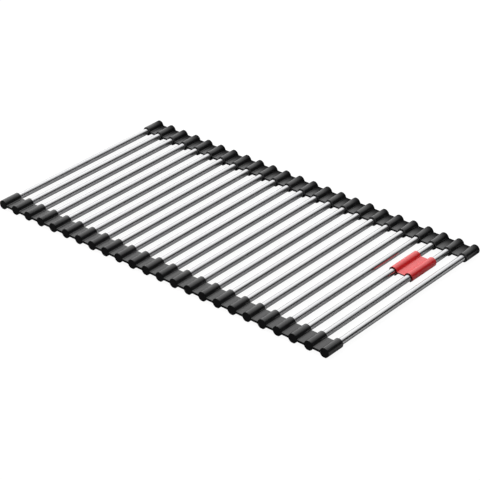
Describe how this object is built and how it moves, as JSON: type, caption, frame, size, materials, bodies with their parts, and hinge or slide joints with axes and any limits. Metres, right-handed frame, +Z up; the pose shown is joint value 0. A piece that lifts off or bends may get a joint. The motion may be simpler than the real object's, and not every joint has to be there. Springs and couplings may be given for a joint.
{
  "type": "roll up dish drying rack",
  "caption": "Roll up drying rack: parallel steel tubes whose ends sit in two flexible black strips, with a red clip snapped over neighbouring tubes.",
  "frame": {"origin": "on the surface that the rack lies on, under the middle of its outline", "axes": "+X along the row of tubes towards the end with the red clip, +Y along the tubes towards the strip that the clip is nearer to, +Z up"},
  "size_m": [0.4708, 0.2554, 0.0106],
  "materials": {
    "steel": "polished",
    "black_elastomer": "satin",
    "red_elastomer": "satin"
  },
  "bodies": {
    "link_01": {"tube_01": "steel", "front_strip_01": "black_elastomer", "rear_strip_01": "black_elastomer"},
    "link_02": {"tube_02": "steel", "front_strip_02": "black_elastomer", "rear_strip_02": "black_elastomer"},
    "link_03": {"tube_03": "steel", "front_strip_03": "black_elastomer", "rear_strip_03": "black_elastomer"},
    "link_04": {"tube_04": "steel", "front_strip_04": "black_elastomer", "rear_strip_04": "black_elastomer"},
    "link_05": {"tube_05": "steel", "front_strip_05": "black_elastomer", "rear_strip_05": "black_elastomer"},
    "link_06": {"tube_06": "steel", "front_strip_06": "black_elastomer", "rear_strip_06": "black_elastomer"},
    "link_07": {"tube_07": "steel", "front_strip_07": "black_elastomer", "rear_strip_07": "black_elastomer"},
    "link_08": {"tube_08": "steel", "front_strip_08": "black_elastomer", "rear_strip_08": "black_elastomer"},
    "link_09": {"tube_09": "steel", "front_strip_09": "black_elastomer", "rear_strip_09": "black_elastomer"},
    "link_10": {"tube_10": "steel", "tube_11": "steel", "front_strip_10": "black_elastomer", "rear_strip_10": "black_elastomer"},
    "link_11": {"tube_12": "steel", "tube_13": "steel", "front_strip_11": "black_elastomer", "rear_strip_11": "black_elastomer"},
    "link_12": {"tube_14": "steel", "tube_15": "steel", "front_strip_12": "black_elastomer", "rear_strip_12": "black_elastomer"},
    "link_13": {"tube_16": "steel", "tube_17": "steel", "front_strip_13": "black_elastomer", "rear_strip_13": "black_elastomer"},
    "link_14": {"tube_18": "steel", "tube_19": "steel", "front_strip_14": "black_elastomer", "rear_strip_14": "black_elastomer"},
    "link_15": {"tube_20": "steel", "tube_21": "steel", "front_strip_15": "black_elastomer", "rear_strip_15": "black_elastomer"},
    "link_16": {"tube_22": "steel", "tube_23": "steel", "front_strip_16": "black_elastomer", "rear_strip_16": "black_elastomer", "red_clip": "red_elastomer"},
    "link_17": {"tube_24": "steel", "front_strip_17": "black_elastomer", "rear_strip_17": "black_elastomer"}
  },
  "joints": [
    {"name": "roll_up", "type": "hinge", "parent": "link_02", "child": "link_01", "pos_m": [-0.22, 0, 0.00589], "axis": [0, 1, 0], "range_deg": [0, 88.6]},
    {"name": "bend_02", "type": "hinge", "parent": "link_03", "child": "link_02", "pos_m": [-0.2, 0, 0.00589], "axis": [0, 1, 0], "range_deg": [0, 71.7]},
    {"name": "bend_03", "type": "hinge", "parent": "link_04", "child": "link_03", "pos_m": [-0.18, 0, 0.00589], "axis": [0, 1, 0], "range_deg": [0, 61.7]},
    {"name": "bend_04", "type": "hinge", "parent": "link_05", "child": "link_04", "pos_m": [-0.16, 0, 0.00589], "axis": [0, 1, 0], "range_deg": [0, 55.1]},
    {"name": "bend_05", "type": "hinge", "parent": "link_06", "child": "link_05", "pos_m": [-0.14, 0, 0.00589], "axis": [0, 1, 0], "range_deg": [0, 50.1]},
    {"name": "bend_06", "type": "hinge", "parent": "link_07", "child": "link_06", "pos_m": [-0.12, 0, 0.00589], "axis": [0, 1, 0], "range_deg": [0, 46.4]},
    {"name": "bend_07", "type": "hinge", "parent": "link_08", "child": "link_07", "pos_m": [-0.1, 0, 0.00589], "axis": [0, 1, 0], "range_deg": [0, 43.3]},
    {"name": "bend_08", "type": "hinge", "parent": "link_09", "child": "link_08", "pos_m": [-0.08, 0, 0.00589], "axis": [0, 1, 0], "range_deg": [0, 40.8]},
    {"name": "bend_09", "type": "hinge", "parent": "link_10", "child": "link_09", "pos_m": [-0.06, 0, 0.00589], "axis": [0, 1, 0], "range_deg": [0, 58]},
    {"name": "bend_10", "type": "hinge", "parent": "link_11", "child": "link_10", "pos_m": [-0.02, 0, 0.00589], "axis": [0, 1, 0], "range_deg": [0, 70.6]},
    {"name": "bend_11", "type": "hinge", "parent": "link_12", "child": "link_11", "pos_m": [0.02, 0, 0.00589], "axis": [0, 1, 0], "range_deg": [0, 65.3]},
    {"name": "bend_12", "type": "hinge", "parent": "link_13", "child": "link_12", "pos_m": [0.06, 0, 0.00589], "axis": [0, 1, 0], "range_deg": [0, 61.1]},
    {"name": "bend_13", "type": "hinge", "parent": "link_14", "child": "link_13", "pos_m": [0.1, 0, 0.00589], "axis": [0, 1, 0], "range_deg": [0, 57.5]},
    {"name": "bend_14", "type": "hinge", "parent": "link_15", "child": "link_14", "pos_m": [0.14, 0, 0.00589], "axis": [0, 1, 0], "range_deg": [0, 54.6]},
    {"name": "bend_15", "type": "hinge", "parent": "link_16", "child": "link_15", "pos_m": [0.18, 0, 0.00589], "axis": [0, 1, 0], "range_deg": [0, 52]},
    {"name": "bend_16", "type": "hinge", "parent": "link_16", "child": "link_17", "pos_m": [0.22, 0, 0.00589], "axis": [0, -1, 0], "range_deg": [0, 37.4]}
  ],
  "couplings": [
    {"joint": "bend_02", "follows": "roll_up", "ratio": 0.8082},
    {"joint": "bend_03", "follows": "roll_up", "ratio": 0.6962},
    {"joint": "bend_04", "follows": "roll_up", "ratio": 0.6211},
    {"joint": "bend_05", "follows": "roll_up", "ratio": 0.5654},
    {"joint": "bend_06", "follows": "roll_up", "ratio": 0.5232},
    {"joint": "bend_07", "follows": "roll_up", "ratio": 0.4886},
    {"joint": "bend_08", "follows": "roll_up", "ratio": 0.4604},
    {"joint": "bend_09", "follows": "roll_up", "ratio": 0.6545},
    {"joint": "bend_10", "follows": "roll_up", "ratio": 0.7959},
    {"joint": "bend_11", "follows": "roll_up", "ratio": 0.7361},
    {"joint": "bend_12", "follows": "roll_up", "ratio": 0.6886},
    {"joint": "bend_13", "follows": "roll_up", "ratio": 0.6487},
    {"joint": "bend_14", "follows": "roll_up", "ratio": 0.6152},
    {"joint": "bend_15", "follows": "roll_up", "ratio": 0.5865},
    {"joint": "bend_16", "follows": "roll_up", "ratio": 0.4211}
  ]
}
